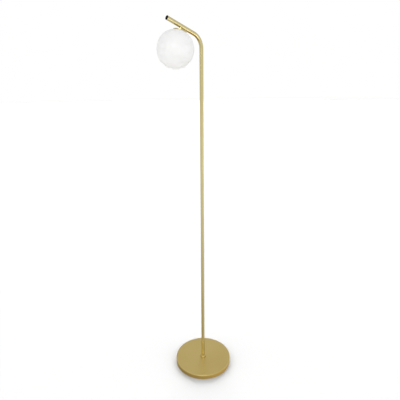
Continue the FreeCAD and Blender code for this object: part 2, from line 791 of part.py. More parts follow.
def to_head(item, along=None):
    """Moves a piece drawn with its Z axis down the head's axis and X along the arm."""
    across, up = arm_point(along if along is not None else given["head_reach"])
    place(item, across, 0, up, Rotation(Vector(0, 1, 0), 180 + slope.value))
    item.setExpression("Placement.Rotation.Angle", (size(180) + slope).text)
    return item


def bent_path():
    """The axis of the upper tube: up, round the bend and out along the arm."""
    radius = given["bend_radius"]
    path = doc.addObject("Sketcher::SketchObject", "upper_tube_path")
    path.Placement = Placement(Vector(), Rotation(Vector(1, 0, 0), 90))
    across, up = arm_point(bend_setback)
    end_across, end_up = arm_point(arm_end)
    outline(path, [
        (0, upper_joint),
        (0, bend_start),
        (across, up, radius, -radius, bend_start),
        (end_across, end_up),
    ], closed=False)
    return path


def swept_round(name, radius, path):
    """A round bar along the upper tube's axis."""
    section = doc.addObject("Part::Circle", name + "_section")
    bind(section, "Radius", radius)
    place(section, z=upper_joint)
    sweep = doc.addObject("Part::Sweep", name)
    sweep.Sections = [section]
    sweep.Spine = (path, ["Edge1", "Edge2", "Edge3"])
    sweep.Solid = True
    sweep.Frenet = False
    return sweep


def upper_bent_tube():
    """Upper length of the pole, bent over into the arm, with a hole for the head's nipple."""
    path = bent_path()
    hole = to_head(cylinder("nipple_way", nipple_hole, given["tube_diameter"]))
    bevel = given["tube_end_chamfer"]
    beyond = tube_radius + CLEAR_CUT
    bevel_cut = place(turned("bent_tube_bevel", [
        (tube_radius - bevel, 0),
        (beyond, 0),
        (beyond, bevel + CLEAR_CUT),
    ]), z=upper_joint)
    node(cut("bent_tube", swept_round("bent_outside", tube_radius, path),
             swept_round("bent_inside", tube_inner, path), hole, bevel_cut), "upper_bent_tube")


def arm_end_plug():
    """Plastic plug: a head that covers the tube's end, and a ribbed core inside it."""
    start = arm_end - given["head_reach"]
    core = tube_inner - given["plug_gap"]
    rib_pitch = given["plug_depth"] / (PLUG_RIBS + 1)
    ease = given["plug_head"] / 3
    corners = [(0, -given["plug_depth"]), (core, -given["plug_depth"])]
    for count in range(PLUG_RIBS):
        top = rib_pitch * (count + 1) - given["plug_depth"]
        corners += [
            (core, top - rib_pitch / 4),
            (tube_inner - given["insert_gap"], top),
            (core, top),
        ]
    corners += [
        (core, 0),
        (tube_radius, 0),
        (tube_radius, given["plug_head"] - ease),
        (tube_radius - ease, given["plug_head"], ease, tube_radius - ease, given["plug_head"] - ease),
        (0, given["plug_head"]),
    ]
    blank = turned("plug_blank", corners)
    place(blank, x=start, turn=ALONG_X)
    node(to_head(group("plug", [blank])), "arm_end_plug")


def arm_cross_nut():
    """Slug inside the arm with the cross thread for the nipple and a way for the wires."""
    half = given["cross_nut_length"] / 2
    way = given["nipple_bore"] / 2
    blank = cylinder("slug_blank", tube_inner - given["insert_gap"] * 2,
                     given["cross_nut_length"], x=-half, turn=ALONG_X)
    thread = cylinder("slug_thread", nipple_thread, given["tube_diameter"])
    wire_way = cylinder("slug_way", way, half + way + CLEAR_CUT, x=-half - CLEAR_CUT, turn=ALONG_X)
    node(to_head(cut("slug", blank, thread, wire_way)), "arm_cross_nut")


# ---- Head ----------------------------------------------------------------------------------

def head_stem():
    """Hollow nipple from the arm to the lampholder, the visible stem round it, and its nut."""
    top = given["nipple_top"]
    node(to_head(group("nipple", [ring("nipple_tube", nipple_radius, given["nipple_bore"] / 2,
                                       nipple_end_drop - top, z=top)])), "head_nipple")
    stem = ring("stem_tube", given["stem_diameter"] / 2, nipple_hole,
                stem_end_drop - tube_inner, z=tube_inner)
    saddle = cylinder("stem_saddle", tube_radius + given["thread_gap"],
                      given["cross_nut_length"] * 2, x=-given["cross_nut_length"], turn=ALONG_X)
    node(to_head(cut("stem", stem, saddle)), "stem_spacer")
    nut = hex_nut("head_nut_ring", given["head_nut_flats"], nipple_thread,
                  given["head_nut_thickness"], z=head_nut_drop)
    node(to_head(group("head_nut_group", [nut])), "head_nut")


def globe_cap():
    """Spun cap that follows the glass at a small distance, with a turned-down rim."""
    top = given["globe_drop"] - cap_outer - CLEAR_CUT
    outside = common("cap_outside",
                     cylinder("cap_outer_wall", cap_radius, cap_rim_drop - top, z=top),
                     sphere("cap_outer_dome", cap_outer, z=given["globe_drop"]))
    inside = common("cap_inside",
                    cylinder("cap_inner_wall", cap_radius - given["cap_wall"],
                             cap_rim_drop - top + CLEAR_CUT, z=top),
                    sphere("cap_inner_dome", cap_inner, z=given["globe_drop"]))
    hole = cylinder("cap_hole", nipple_hole, cap_radius, z=top)
    node(to_head(cut("cap", outside, inside, hole)), "globe_cap")


def globe_gasket():
    gap = given["gasket_gap"]
    top = given["globe_drop"] - cap_outer
    band = ring("gasket_band", given["gasket_outer_diameter"] / 2,
                given["gasket_inner_diameter"] / 2, cap_radius, z=top)
    shell = cut("gasket_shell",
                sphere("gasket_outside", cap_inner - gap, z=given["globe_drop"]),
                sphere("gasket_inside", globe_radius + gap, z=given["globe_drop"]))
    node(to_head(common("gasket", band, shell)), "globe_gasket")


def globe():
    """Blown opal ball with a round mouth at the top."""
    outside = sphere("glass_outside", globe_radius, z=given["globe_drop"])
    inside = sphere("glass_inside", glass_inner, z=given["globe_drop"])
    mouth = cylinder("glass_mouth", mouth_radius, given["globe_drop"])
    node(to_head(cut("glass", outside, inside, mouth)), "globe")


def globe_spring():
    """One spring sheet: a hub on the nipple and legs that grip under the glass's mouth."""
    thick = given["spring_thickness"]
    neck = mouth_radius - given["spring_neck_gap"] - thick
    foot = mouth_radius + given["spring_foot_reach"]
    knee = drop_at(glass_inner, mouth_radius) + thick * 3
    toe = drop_at(glass_inner, across_leg(foot)) + given["gasket_gap"] * 2
    shoulder = drop_at(cap_inner, across_leg(neck + thick)) + given["gasket_gap"]
    leg_shape = doc.addObject("PartDesign::Body", "spring_leg")
    sketch = leg_shape.newObject("Sketcher::SketchObject", "spring_leg_outline")
    sketch.AttachmentSupport = [(origin_plane(leg_shape, "XZ_Plane"), "")]
    sketch.MapMode = "FlatFace"
    outline(sketch, [
        (nipple_radius + thick, hub_drop),
        (hub_radius, hub_drop),
        (neck + thick, shoulder),
        (neck + thick, knee),
        (foot, toe),
        (foot, toe + thick),
        (neck, knee + thick * 2),
        (neck, shoulder + thick),
        (hub_radius, hub_drop + thick),
        (nipple_radius + thick, hub_drop + thick),
    ])
    pad = leg_shape.newObject("PartDesign::Pad", "spring_leg_pad")
    pad.Profile = sketch
    pad.Midplane = True
    bind(pad, "Length", given["spring_width"])
    doc.recompute()
    legs = leg_shape.newObject("PartDesign::PolarPattern", "spring_legs")
    legs.Originals = [pad]
    legs.Axis = (sketch, ["V_Axis"])
    legs.Angle = 360
    legs.Occurrences = SPRING_LEGS
    leg_shape.Tip = legs
    hub = cylinder("spring_hub", hub_radius, thick, z=hub_drop)
    hole = cylinder("spring_hole", nipple_hole, thick + 2 * CLEAR_CUT, z=hub_drop - CLEAR_CUT)
    node(to_head(cut("spring", fuse("spring_sheet", hub, leg_shape), hole)), "globe_spring")


def lampholder():
    """Ceramic two-pin holder under a steel plate, with its screws and contacts."""
    aside = given["holder_screw_spread"] / 2
    screw = given["holder_screw_diameter"] / 2
    plate_thick = given["holder_plate_thickness"]
    chamber = given["holder_chamber_depth"]
    half_pitch = given["pin_pitch"] / 2
    contact_way = given["contact_diameter"] / 2 + given["contact_gap"]
    plate_blank = ring("holder_plate_ring", holder_radius, nipple_thread, plate_thick,
                       z=holder_plate_drop)
    plate_holes = [
        cylinder("holder_plate_hole_%d" % (index + 1), screw + given["hole_gap"],
                 plate_thick + 2 * CLEAR_CUT, x=x, z=holder_plate_drop - CLEAR_CUT)
        for index, x in enumerate((-aside, aside))
    ]
    node(to_head(cut("holder_plate", plate_blank, *plate_holes)), "lampholder_plate")
    blank = cylinder("holder_blank", holder_radius, given["holder_height"], z=holder_drop)
    tools = [
        cylinder("holder_chamber", given["holder_chamber_diameter"] / 2, chamber + CLEAR_CUT,
                 z=holder_drop - CLEAR_CUT),
    ]
    for index, x in enumerate((-aside, aside)):
        tools.append(cylinder("holder_screw_hole_%d" % (index + 1), screw + given["thread_gap"],
                              given["holder_screw_length"], x=x, z=holder_drop - CLEAR_CUT))
    contacts = []
    for index, y in enumerate((-half_pitch, half_pitch)):
        tools.append(cylinder("holder_contact_way_%d" % (index + 1), contact_way,
                              given["contact_length"], y=y, z=contact_drop + given["contact_gap"]))
        tools.append(cylinder("holder_pin_way_%d" % (index + 1),
                              given["pin_diameter"] / 2 + given["hole_gap"] * 2,
                              given["holder_height"], y=y, z=contact_drop))
        contacts.append(ring("contact_%d" % (index + 1), given["contact_diameter"] / 2,
                             given["contact_diameter"] / 2 - given["contact_wall"],
                             given["contact_length"], y=y, z=contact_drop))
    node(to_head(cut("holder", blank, *tools)), "lampholder_body")
    node(to_head(group("contacts", contacts)), "lampholder_contacts")
    bolt = slotted_screw("holder_bolt", screw, given["holder_screw_length"] - CLEAR_CUT,
                         given["holder_head_diameter"] / 2, given["holder_head_height"])
    spots = [(x, 0, holder_plate_drop) for x in (-aside, aside)]
    node(to_head(group("holder_bolts", copies("holder_bolt_copy", bolt, spots))),
         "lampholder_screws")


def bulb():
    """Two-pin capsule bulb: ceramic base, wire pins and a round-ended envelope."""
    radius = given["bulb_diameter"] / 2
    gap = given["gasket_gap"]
    base_blank = cylinder("bulb_base_blank", given["bulb_base_diameter"] / 2,
                          given["bulb_base_height"] - gap, z=holder_end_drop + gap)
    half_pitch = given["pin_pitch"] / 2
    pin_root = given["bulb_base_height"] / 2
    sockets = []
    pins = []
    for index, y in enumerate((-half_pitch, half_pitch)):
        sockets.append(cylinder("pin_socket_%d" % (index + 1),
                                given["pin_diameter"] / 2 + given["thread_gap"],
                                pin_root + CLEAR_CUT, y=y, z=holder_end_drop - CLEAR_CUT))
        pins.append(cylinder("pin_%d" % (index + 1), given["pin_diameter"] / 2,
                             given["pin_length"] + pin_root, y=y,
                             z=holder_end_drop - given["pin_length"]))
    node(to_head(cut("bulb_foot", base_blank, *sockets)), "bulb_base")
    node(to_head(group("pins", pins)), "bulb_pins")
    end = bulb_drop + given["bulb_length"] - radius
    skin = given["bulb_wall"]
    outside = fuse("bulb_outside",
                   cylinder("bulb_barrel", radius, end - bulb_drop, z=bulb_drop),
                   sphere("bulb_end", radius, z=end))
    inside = fuse("bulb_inside",
                  cylinder("bulb_bore", radius - skin, end - bulb_drop - skin, z=bulb_drop + skin),
                  sphere("bulb_inner_end", radius - skin, z=end))
    node(to_head(cut("capsule", outside, inside)), "bulb_envelope")


# ---- Wires ---------------------------------------------------------------------------------

def arm_vector(along, drop, y):
    across, up = arm_point(along, drop)
    return Vector(across.value, y, up.value)


def leads():
    """The two wires from the terminal block up the pole to the lampholder, and the earth lead."""
    half_gap = given["wire_spacing"].value / 2
    diameter = given["wire_diameter"].value
    bend = given["wire_bend"].value
    sweep = given["wire_sweep"].value
    fan = given["wire_fan_bend"].value
    low = wire_floor.value
    end = (given["block_near"] + given["clamp_screw_inset"] - given["wire_end_inset"]).value
    block_height = clamp_height.value
    reach = given["head_reach"].value
    fan_start = (nipple_end_drop + given["wire_fan_start"]).value
    fan_end = (contact_drop - given["wire_fan_end"]).value
    wire_end = (contact_drop + given["contact_length"] / 4).value
    contact_y = given["pin_pitch"].value / 2
    rise_start = given["nut_recess_diameter"].value / 2
    rise_end = given["block_near"].value - sweep * 0.8
    for label, side, terminal in (
        ("neutral_lead", -1, terminal_spots()[1]),
        ("live_lead", 1, terminal_spots()[2]),
    ):
        y = side * half_gap
        points = [
            Vector(end, terminal.value, block_height),
            Vector(rise_end, terminal.value, block_height),
            Vector(rise_start, y, low),
            Vector(0, y, low),
            Vector(0, y, given["corner_height"].value),
            arm_vector(reach, 0, y),
            arm_vector(reach, fan_start, y),
            arm_vector(reach, fan_end, side * contact_y),
            arm_vector(reach, wire_end, side * contact_y),
        ]
        radii = [sweep, sweep, bend, given["bend_radius"].value, bend, fan, fan]
        wire_solid(label, points, radii, diameter)
    tag_x = (given["earth_across"] + given["tag_diameter"] / 2).value
    tag_y = -given["earth_aside"].value
    tag_z = (given["pocket_roof_height"] - given["tag_barrel_diameter"] / 2).value
    barrel = given["tag_barrel_length"].value
    earth_y = terminal_spots()[0].value
    turn_out = tag_x + barrel + given["earth_straight_tag"].value
    turn_in = (given["block_near"] - given["earth_straight_block"]).value
    points = [
        Vector(tag_x + barrel / 2, tag_y, tag_z),
        Vector(turn_out, tag_y, tag_z),
        Vector(turn_in, earth_y, block_height),
        Vector(end, earth_y, block_height),
    ]
    wire_solid("earth_lead", points, [given["earth_bend"].value] * 2, diameter)


def build():
    base_cover()
    base_weight()
    floor_pad()
    foot_collar()
    base_fasteners()
    cable_inlet_bush()
    wiring_cover()
    terminal_block()
    earth_bond()
    straight_tubes()
    pole_joints()
    upper_bent_tube()
    arm_end_plug()
    arm_cross_nut()
    head_stem()
    globe_cap()
    globe_gasket()
    globe()
    globe_spring()
    lampholder()
    bulb()
    leads()


def check_and_write():
    """Refuses a failed or empty piece, then writes each piece to its own file."""
    doc.recompute()
    for item in doc.Objects:
        if "Invalid" in item.State or "Error" in item.State:
            raise RuntimeError("%s (%s) failed: %s" % (item.Name, item.Label, item.State))
    os.makedirs("parts", exist_ok=True)
    for item in nodes:
        shape = item.Shape
        if shape.isNull() or not shape.isValid() or not shape.Solids:
            raise RuntimeError("%s has no valid solid" % item.Label)
        shape.exportStep("parts/%s.step" % item.Label)
    print("%d nodes written" % len(nodes))


build()
check_and_write()
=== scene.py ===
"""Finishes, threads, light strip and studio of a globe floor lamp."""
import math

import bmesh
import bpy
from bpy.props import FloatProperty, FloatVectorProperty, PointerProperty
from mathutils import Matrix, Vector


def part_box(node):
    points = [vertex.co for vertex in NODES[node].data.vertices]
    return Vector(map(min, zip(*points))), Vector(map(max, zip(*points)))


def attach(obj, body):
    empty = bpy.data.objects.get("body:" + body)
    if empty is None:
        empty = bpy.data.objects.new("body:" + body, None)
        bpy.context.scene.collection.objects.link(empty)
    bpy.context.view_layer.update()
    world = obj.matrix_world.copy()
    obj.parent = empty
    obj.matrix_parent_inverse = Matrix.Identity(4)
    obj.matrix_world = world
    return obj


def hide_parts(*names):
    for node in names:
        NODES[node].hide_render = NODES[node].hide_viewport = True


bl_info = {
    "name": "Globe floor lamp",
    "version": (1, 0, 0),
    "blender": (4, 5, 0),
    "location": "View3D > Sidebar > Lamp",
    "description": "Finishes, threads, light strip and studio of a globe floor lamp",
    "category": "Object",
}

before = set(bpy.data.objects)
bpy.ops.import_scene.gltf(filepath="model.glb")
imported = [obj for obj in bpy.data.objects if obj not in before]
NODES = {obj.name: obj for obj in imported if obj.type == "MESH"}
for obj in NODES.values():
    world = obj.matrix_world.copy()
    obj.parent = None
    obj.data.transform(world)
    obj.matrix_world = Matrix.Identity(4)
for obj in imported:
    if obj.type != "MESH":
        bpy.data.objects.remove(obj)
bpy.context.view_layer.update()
BODY = "root"
MM = 0.001
WHITE = (1.0, 1.0, 1.0, 1.0)

# Edges sharper than this stay sharp on the pieces made here.
SHARP_EDGE = math.radians(40.0)

# Rolled thread: its depth as a share of the pitch, and its points round the tube and per turn.
THREAD_DEPTH = 0.6
THREAD_SIDES = 40
THREAD_STEPS = 6

# Light strip: the board's bevel as a share of its thickness. The chips stand in a grid whose
# spacing is given in chip radii, and are as thick as the share of their radius given here.
BOARD_BEVEL = 0.2
CHIP_SPACING = 3
CHIP_THICKNESS = 0.3
CHIP_COLUMNS = (-0.5, 0.5)
CHIP_ROWS = (-2, -1, 0, 1, 2)

# Studio. Places are in metres in the camera's heading: right, ahead and up from the pole's foot.
FLOOR_RADIUS = 30.0
FLOOR_SIDES = 64
SENSOR_WIDTH = 36.0
FRONT_SIZE = 1.4
FRONT_PLACE = (-0.2, -3.2, 3.0)
FRONT_TARGET = (0.0, 0.0, 1.2)
CARD_SIZE = 1.8
CARD_PLACE = (1.6, -1.4, 0.05)
CARD_TARGET = (1.6, -1.4, 1.0)
# Keeps the card's light off the pole below the bend, which it would meet at a low angle.
CARD_SPREAD = math.radians(150.0)
WASH_ANGLE = math.radians(70.0)
WASH_TARGET = (0.0, 0.0, 0.0)

# The floor's lights: name, share of the strength, and place.
WASHES = (
    ("left", 0.2, (-3.0, -0.5, 0.8)),
    ("back", 0.6, (0.0, 3.0, 0.95)),
    ("right", 0.2, (3.0, -0.5, 0.8)),
)

# How bright the surround is, and its colour, by height above the horizon in degrees.
SURROUND = (
    (-90, 0.42, "#FFD468"),
    (-50, 0.42, "#FFD468"),
    (-43, 0.48, "#FFE294"),
    (-37, 0.60, "#FFF5D8"),
    (-28, 0.74, "#FFFFFF"),
    (-15, 0.96, "#FFFFFF"),
    (-3, 0.86, "#FFFFFF"),
    (5, 0.80, "#FFFFFF"),
    (30, 0.74, "#FFFFFF"),
    (45, 0.68, "#FFFFFF"),
    (90, 0.80, "#FFFFFF"),
)
# A colour ramp holds no more than 1, so the bands are kept at half their brightness.
RAMP_HEADROOM = 2.0
# The sines of the heights between which the surround's lean to the right changes.
LEAN_LOW = -0.72
LEAN_HIGH = -0.5


# ---- Sizes and colours ---------------------------------------------------------------------

def linear(hex_colour):
    """A colour written as sRGB hex, as linear red, green and blue."""
    channels = [int(hex_colour[i:i + 2], 16) / 255 for i in (1, 3, 5)]
    return tuple(c / 12.92 if c <= 0.04045 else ((c + 0.055) / 1.055) ** 2.4 for c in channels)


def colour(hex_colour, name, description):
    """A colour that the user may change."""
    return FloatVectorProperty(name=name, description=description, subtype="COLOR", size=3,
                               min=0.0, max=1.0, default=linear(hex_colour))


def length(value_mm, name, description):
    """A length that the user may change, given in millimetres."""
    return FloatProperty(name=name, description=description, subtype="DISTANCE", unit="LENGTH",
                         default=value_mm * MM)


def angle(degrees, name, description):
    """An angle that the user may change, given in degrees."""
    return FloatProperty(name=name, description=description, subtype="ANGLE",
                         default=math.radians(degrees))


def power(watts, name, description):
    """The power of a lamp, which the user may change."""
    return FloatProperty(name=name, description=description, subtype="POWER", default=watts)


def strength(value, name, description):
    """A plain number that the user may change."""
    return FloatProperty(name=name, description=description, default=value)


class LampFinishes(bpy.types.PropertyGroup):
    """Colours of the lamp's materials."""

    # Painted shade: pole and base are plated with the same brass. It is given twice, and the
    # base's copy is deeper and more yellow, standing in for the darker, warmer light on the base.
    plating: colour("#D8CA94", "Plating", "Satin brass plating of the pole, arm, stem and cap")
    plating_deep: colour("#CEC08A", "Plating, thicker", "Where the plating lies thicker")
    cover: colour("#D4BE7C", "Base plating", "Satin brass plating of the base and foot ring")
    cover_deep: colour("#CDB672", "Base plating, thicker", "Where the base's plating lies thicker")
    opal: colour("#EFEFEE", "Opal glass", "Etched opal glass of the globe")
    # Painted shade as well: kept blacker than black nylon is.
    nylon: colour("#020202", "Black nylon", "Plug in the arm and cable bush")
    polyamide: colour("#E4E3DC", "White polyamide", "Terminal block")
    ceramic: colour("#EFEBE0", "Ceramic", "Lampholder and the bulb's foot")
    iron: colour("#2B2B2D", "Cast iron", "Primed casting in the base")
    foam: colour("#131314", "Foam", "Sheet under the base")
    zinc: colour("#C3C7CC", "Zinc", "Nuts, studs, screws and plates")
    brass: colour("#C9A865", "Bare brass", "Terminals and contacts")
    silicone: colour("#DCDDD8", "Silicone", "Ring between glass and cap")
    live: colour("#5A2E16", "Live wire", "Brown sleeve")
    neutral: colour("#2358A8", "Neutral wire", "Blue sleeve")
    earth: colour("#2E7A33", "Earth wire", "Green of the green and yellow sleeve")
    earth_stripe: colour("#E3C62B", "Earth wire stripe", "Yellow of the green and yellow sleeve")
    phosphor: colour("#E8C23A", "Phosphor", "Cast resin over the bulb's light chips")


class LampDetails(bpy.types.PropertyGroup):
    """Sizes of the threads and of the strip in the bulb."""

    pitch: length(1.0, "Thread pitch", "Pitch of the hollow threaded tubes")
    stud_bore: length(7.2, "Stud bore", "Wire way through the studs of base and pole")
    nipple_bore: length(5.6, "Nipple bore", "Wire way through the threaded tube in the head")
    head_tilt: angle(19.5, "Head tilt", "Lean of the head's axis from upright")
    strip_length: length(22.0, "Strip length", "Light strip in the bulb")
    strip_width: length(7.0, "Strip width", "Light strip in the bulb")
    strip_thickness: length(1.0, "Strip thickness", "Light strip in the bulb")
    chip_radius: length(1.3, "Chip radius", "Round light chips on the strip")


class LampStage(bpy.types.PropertyGroup):
    """Studio light and viewpoint."""

    turn: angle(40.0, "Turn", "Camera's heading from +Y towards +X")
    dip: angle(17.95, "Dip", "How far the camera looks down")
    roll: angle(0.45, "Roll", "Camera's roll")
    across: length(-10.1, "Across", "Camera's place across its own heading")
    back: length(1566.8, "Back", "Camera's distance behind the pole's axis")
    height: length(1390.4, "Height", "Camera's height over the floor")
    lens: FloatProperty(name="Lens", description="Focal length", subtype="DISTANCE_CAMERA",
                        unit="CAMERA", default=32.64)
    sheet: colour("#B3B3B3", "Floor", "Matt floor, which the floor's lights bring up to white")
    sky: strength(1.0, "Surround", "Strength of the surround")
    side: strength(0.08, "Side", "How much brighter the surround is to the right")
    low_side: strength(0.6, "Low side", "The same, far below the horizon")
    front: power(28.0, "Front light", "Soft light in front of the lamp")
    card: power(20.0, "Floor card", "Low light to the right")
    card_tint: colour("#ECF4FF", "Floor card's colour", "Slightly cool white of the low light")
    wash: strength(14.5, "Floor wash", "Strength of the light on the floor")


# ---- Materials -----------------------------------------------------------------------------

def add(tree, kind, inputs=None, **settings):
    """Adds a node, sets its settings, and sets or links its inputs."""
    node = tree.nodes.new(kind)
    for name, value in settings.items():
        setattr(node, name, value)
    for name, value in (inputs or {}).items():
        socket = node.inputs[name]
        if isinstance(value, bpy.types.NodeSocket):
            tree.links.new(value, socket)
        else:
            socket.default_value = value
    return node


def new_material(name):
    """An empty material and its node tree."""
    material = bpy.data.materials.new(name)
    material.use_nodes = True
    material.node_tree.nodes.clear()
    return material, material.node_tree


def shade(tint, share):
    """A tint made darker or lighter by a share."""
    return tuple(c * share for c in tint)


def drifting_tone(tree, place, light, deep, drift_mm):
    """A colour that drifts slowly between two tints, over patches of a real size."""
    drift = add(tree, "ShaderNodeTexNoise", {"Vector": place, "Scale": 1 / (drift_mm * MM)})
    amount = add(tree, "ShaderNodeMapRange", {
        "Value": drift.outputs["Fac"], "From Min": 0.25, "From Max": 0.75,
    })
    tone = add(tree, "ShaderNodeMix", {
        "Factor": amount.outputs["Result"], "A": (*light, 1.0), "B": (*deep, 1.0),
    }, data_type="RGBA")
    return tone.outputs["Result"]


def grained(name, light, deep, *, drift_mm, grain_mm, height_mm, rough, spread, sockets):
    """A finish whose colour drifts slowly, and whose gloss and relief follow a finer grain."""
    material, tree = new_material(name)
    place = add(tree, "ShaderNodeTexCoord").outputs["Object"]
    tone = drifting_tone(tree, place, light, deep, drift_mm)
    grain = add(tree, "ShaderNodeTexNoise", {
        "Vector": place, "Scale": 1 / (grain_mm * MM), "Detail": 3.0,
    })
    gloss = add(tree, "ShaderNodeMapRange", {
        "Value": grain.outputs["Fac"], "To Min": rough - spread, "To Max": rough + spread,
    })
    relief = add(tree, "ShaderNodeBump", {
        "Height": grain.outputs["Fac"], "Distance": height_mm * MM, "Strength": 0.3,
    })
    shader = add(tree, "ShaderNodeBsdfPrincipled", {
        "Base Color": tone,
        "Roughness": gloss.outputs["Result"],
        "Normal": relief.outputs["Normal"],
        **sockets,
    })
    add(tree, "ShaderNodeOutputMaterial", {"Surface": shader.outputs["BSDF"]})
    return material


def satin_brass_plate(light, deep):
    """Brass plated on steel tube, blasted and lacquered: a soft glow, no small reflections."""
    # The blasted grain is about 0.1 mm; 0.8 mm is the finest that shows.
    return grained("satin_brass_plate", light, deep, drift_mm=160.0, grain_mm=0.8,
                   height_mm=0.02, rough=0.25, spread=0.04,
                   sockets={"Metallic": 1.0, "Coat Weight": 0.5, "Coat Roughness": 0.3})


def spun_brass_with_painted_shade(light, deep):
    """Spun sheet under satin plating, in the deeper copy of the brass that paints shade: a calm,
    even face with faint rings left by the tool.
    """
    material, tree = new_material("spun_brass_with_painted_shade")
    place = add(tree, "ShaderNodeTexCoord").outputs["Object"]
    tone = drifting_tone(tree, place, light, deep, 220.0)
    # The blasted grain is about 0.1 mm; 0.8 mm is the finest that shows.
    grain = add(tree, "ShaderNodeTexNoise", {
        "Vector": place, "Scale": 1 / (0.8 * MM), "Detail": 3.0,
    })
    # Tool marks are 0.4 mm apart on the real sheet; 2 mm is the finest that shows.
    rings = add(tree, "ShaderNodeTexWave", {
        "Vector": place, "Scale": 0.05 / (2.0 * MM), "Distortion": 0.4, "Detail": 2.0,
    }, wave_type="RINGS", rings_direction="Z")
    fine = add(tree, "ShaderNodeMapRange", {
        "Value": grain.outputs["Fac"], "To Min": 0.33, "To Max": 0.39,
    })
    broad = add(tree, "ShaderNodeMapRange", {
        "Value": rings.outputs["Fac"], "To Min": -0.01, "To Max": 0.01,
    })
    gloss = add(tree, "ShaderNodeMath", {
        0: fine.outputs["Result"], 1: broad.outputs["Result"],
    }, operation="ADD")
    relief = add(tree, "ShaderNodeBump", {
        "Height": grain.outputs["Fac"], "Distance": 0.02 * MM, "Strength": 0.2,
    })
    shader = add(tree, "ShaderNodeBsdfPrincipled", {
        "Base Color": tone,
        "Metallic": 1.0,
        "Roughness": gloss.outputs["Value"],
        "Normal": relief.outputs["Normal"],
        "Coat Weight": 0.1,
        "Coat Roughness": 0.4,
    })
    add(tree, "ShaderNodeOutputMaterial", {"Surface": shader.outputs["BSDF"]})
    return material


def opal_glass_with_painted_glow(tint):
    """Blown opal glass etched in acid: white all through, with a broad sheen and no mirror."""
    # Acid etch is far finer than 1 mm, which is the finest that shows.
    return grained("opal_glass_with_painted_glow", tint, shade(tint, 0.99), drift_mm=120.0, grain_mm=1.0,
                   height_mm=0.01, rough=0.46, spread=0.04, sockets={
                       "IOR": 1.5,
                       "Subsurface Weight": 0.15,
                       "Subsurface Radius": (1.0, 0.95, 0.9),
                       "Subsurface Scale": 0.012,
                       # Painted glow: a faint white emission evens out the globe's shading,
                       # standing in for light that gets into the hollow ball and leaves it evenly
                       # all round.
                       "Emission Color": WHITE,
                       "Emission Strength": 0.05,
                   })


def nylon_with_painted_shade(tint):
    """Black nylon from a spark-eroded mould, deep black and all but without shine, partly painted
    shade.
    """
    # Painted shade: the nylon is black, but its colour and its shine are set below black nylon's,
    # standing in for the shade of the tube end that the plug sits in.
    return grained("black_nylon_with_painted_shade", tint, shade(tint, 0.8), drift_mm=4.0, grain_mm=0.6,
                   height_mm=0.03, rough=0.5, spread=0.06,
                   sockets={"IOR": 1.53, "Specular IOR Level": 0.02})


def moulded_polyamide(tint):
    """White polyamide block: milky, with the satin of its mould."""
    return grained("moulded_white_polyamide", tint, shade(tint, 0.92), drift_mm=6.0,
                   grain_mm=0.6, height_mm=0.03, rough=0.5, spread=0.06,
                   sockets={"IOR": 1.53, "Subsurface Weight": 0.15, "Subsurface Scale": 0.001})


def glazed_steatite(tint):
    """Pressed steatite under a thin clear glaze: warm white with wet-looking edges."""
    return grained("glazed_steatite", tint, shade(tint, 0.93), drift_mm=5.0, grain_mm=4.0,
                   height_mm=0.05, rough=0.26, spread=0.06,
                   sockets={"IOR": 1.55, "Coat Weight": 0.5, "Coat Roughness": 0.1})


def primed_cast_iron(tint):
    """Sand casting under grey primer: rough and matt, with shallow pits."""
    return grained("primed_cast_iron", tint, shade(tint, 1.5), drift_mm=30.0, grain_mm=1.5,
                   height_mm=0.3, rough=0.7, spread=0.1, sockets={"IOR": 1.5})


def zinc_plated_steel(tint):
    """Bright zinc over turned or pressed steel: grey with a slightly cloudy shine."""
    return grained("zinc_plated_steel", tint, shade(tint, 0.86), drift_mm=6.0, grain_mm=0.7,
                   height_mm=0.01, rough=0.34, spread=0.07, sockets={"Metallic": 1.0})


def drawn_brass(tint):
    """Bare brass as drawn: clean yellow metal with a low, warm shine."""
    return grained("bare_drawn_brass", tint, shade(tint, 0.85), drift_mm=5.0, grain_mm=0.7,
                   height_mm=0.01, rough=0.3, spread=0.06, sockets={"Metallic": 1.0})


def silicone_rubber(tint):
    """Moulded silicone: cloudy, faintly see-through at its edges and a little dusty."""
    return grained("silicone_rubber", tint, shade(tint, 0.9), drift_mm=8.0, grain_mm=1.0,
                   height_mm=0.02, rough=0.52, spread=0.07,
                   sockets={"IOR": 1.41, "Subsurface Weight": 0.3, "Subsurface Scale": 0.002})


def phosphor_resin(tint):
    """Silicone resin filled with phosphor: flat yellow and slightly soft-edged."""
    return grained("phosphor_resin", tint, shade(tint, 0.88), drift_mm=2.0, grain_mm=0.3,
                   height_mm=0.01, rough=0.4, spread=0.05, sockets={"IOR": 1.43})


def extruded_sleeve(name, tint):
    """PVC sleeve as extruded: even colour with a soft gloss along the wire."""
    return grained(name, tint, shade(tint, 0.85), drift_mm=12.0, grain_mm=0.8,
                   height_mm=0.01, rough=0.4, spread=0.05, sockets={"IOR": 1.53})


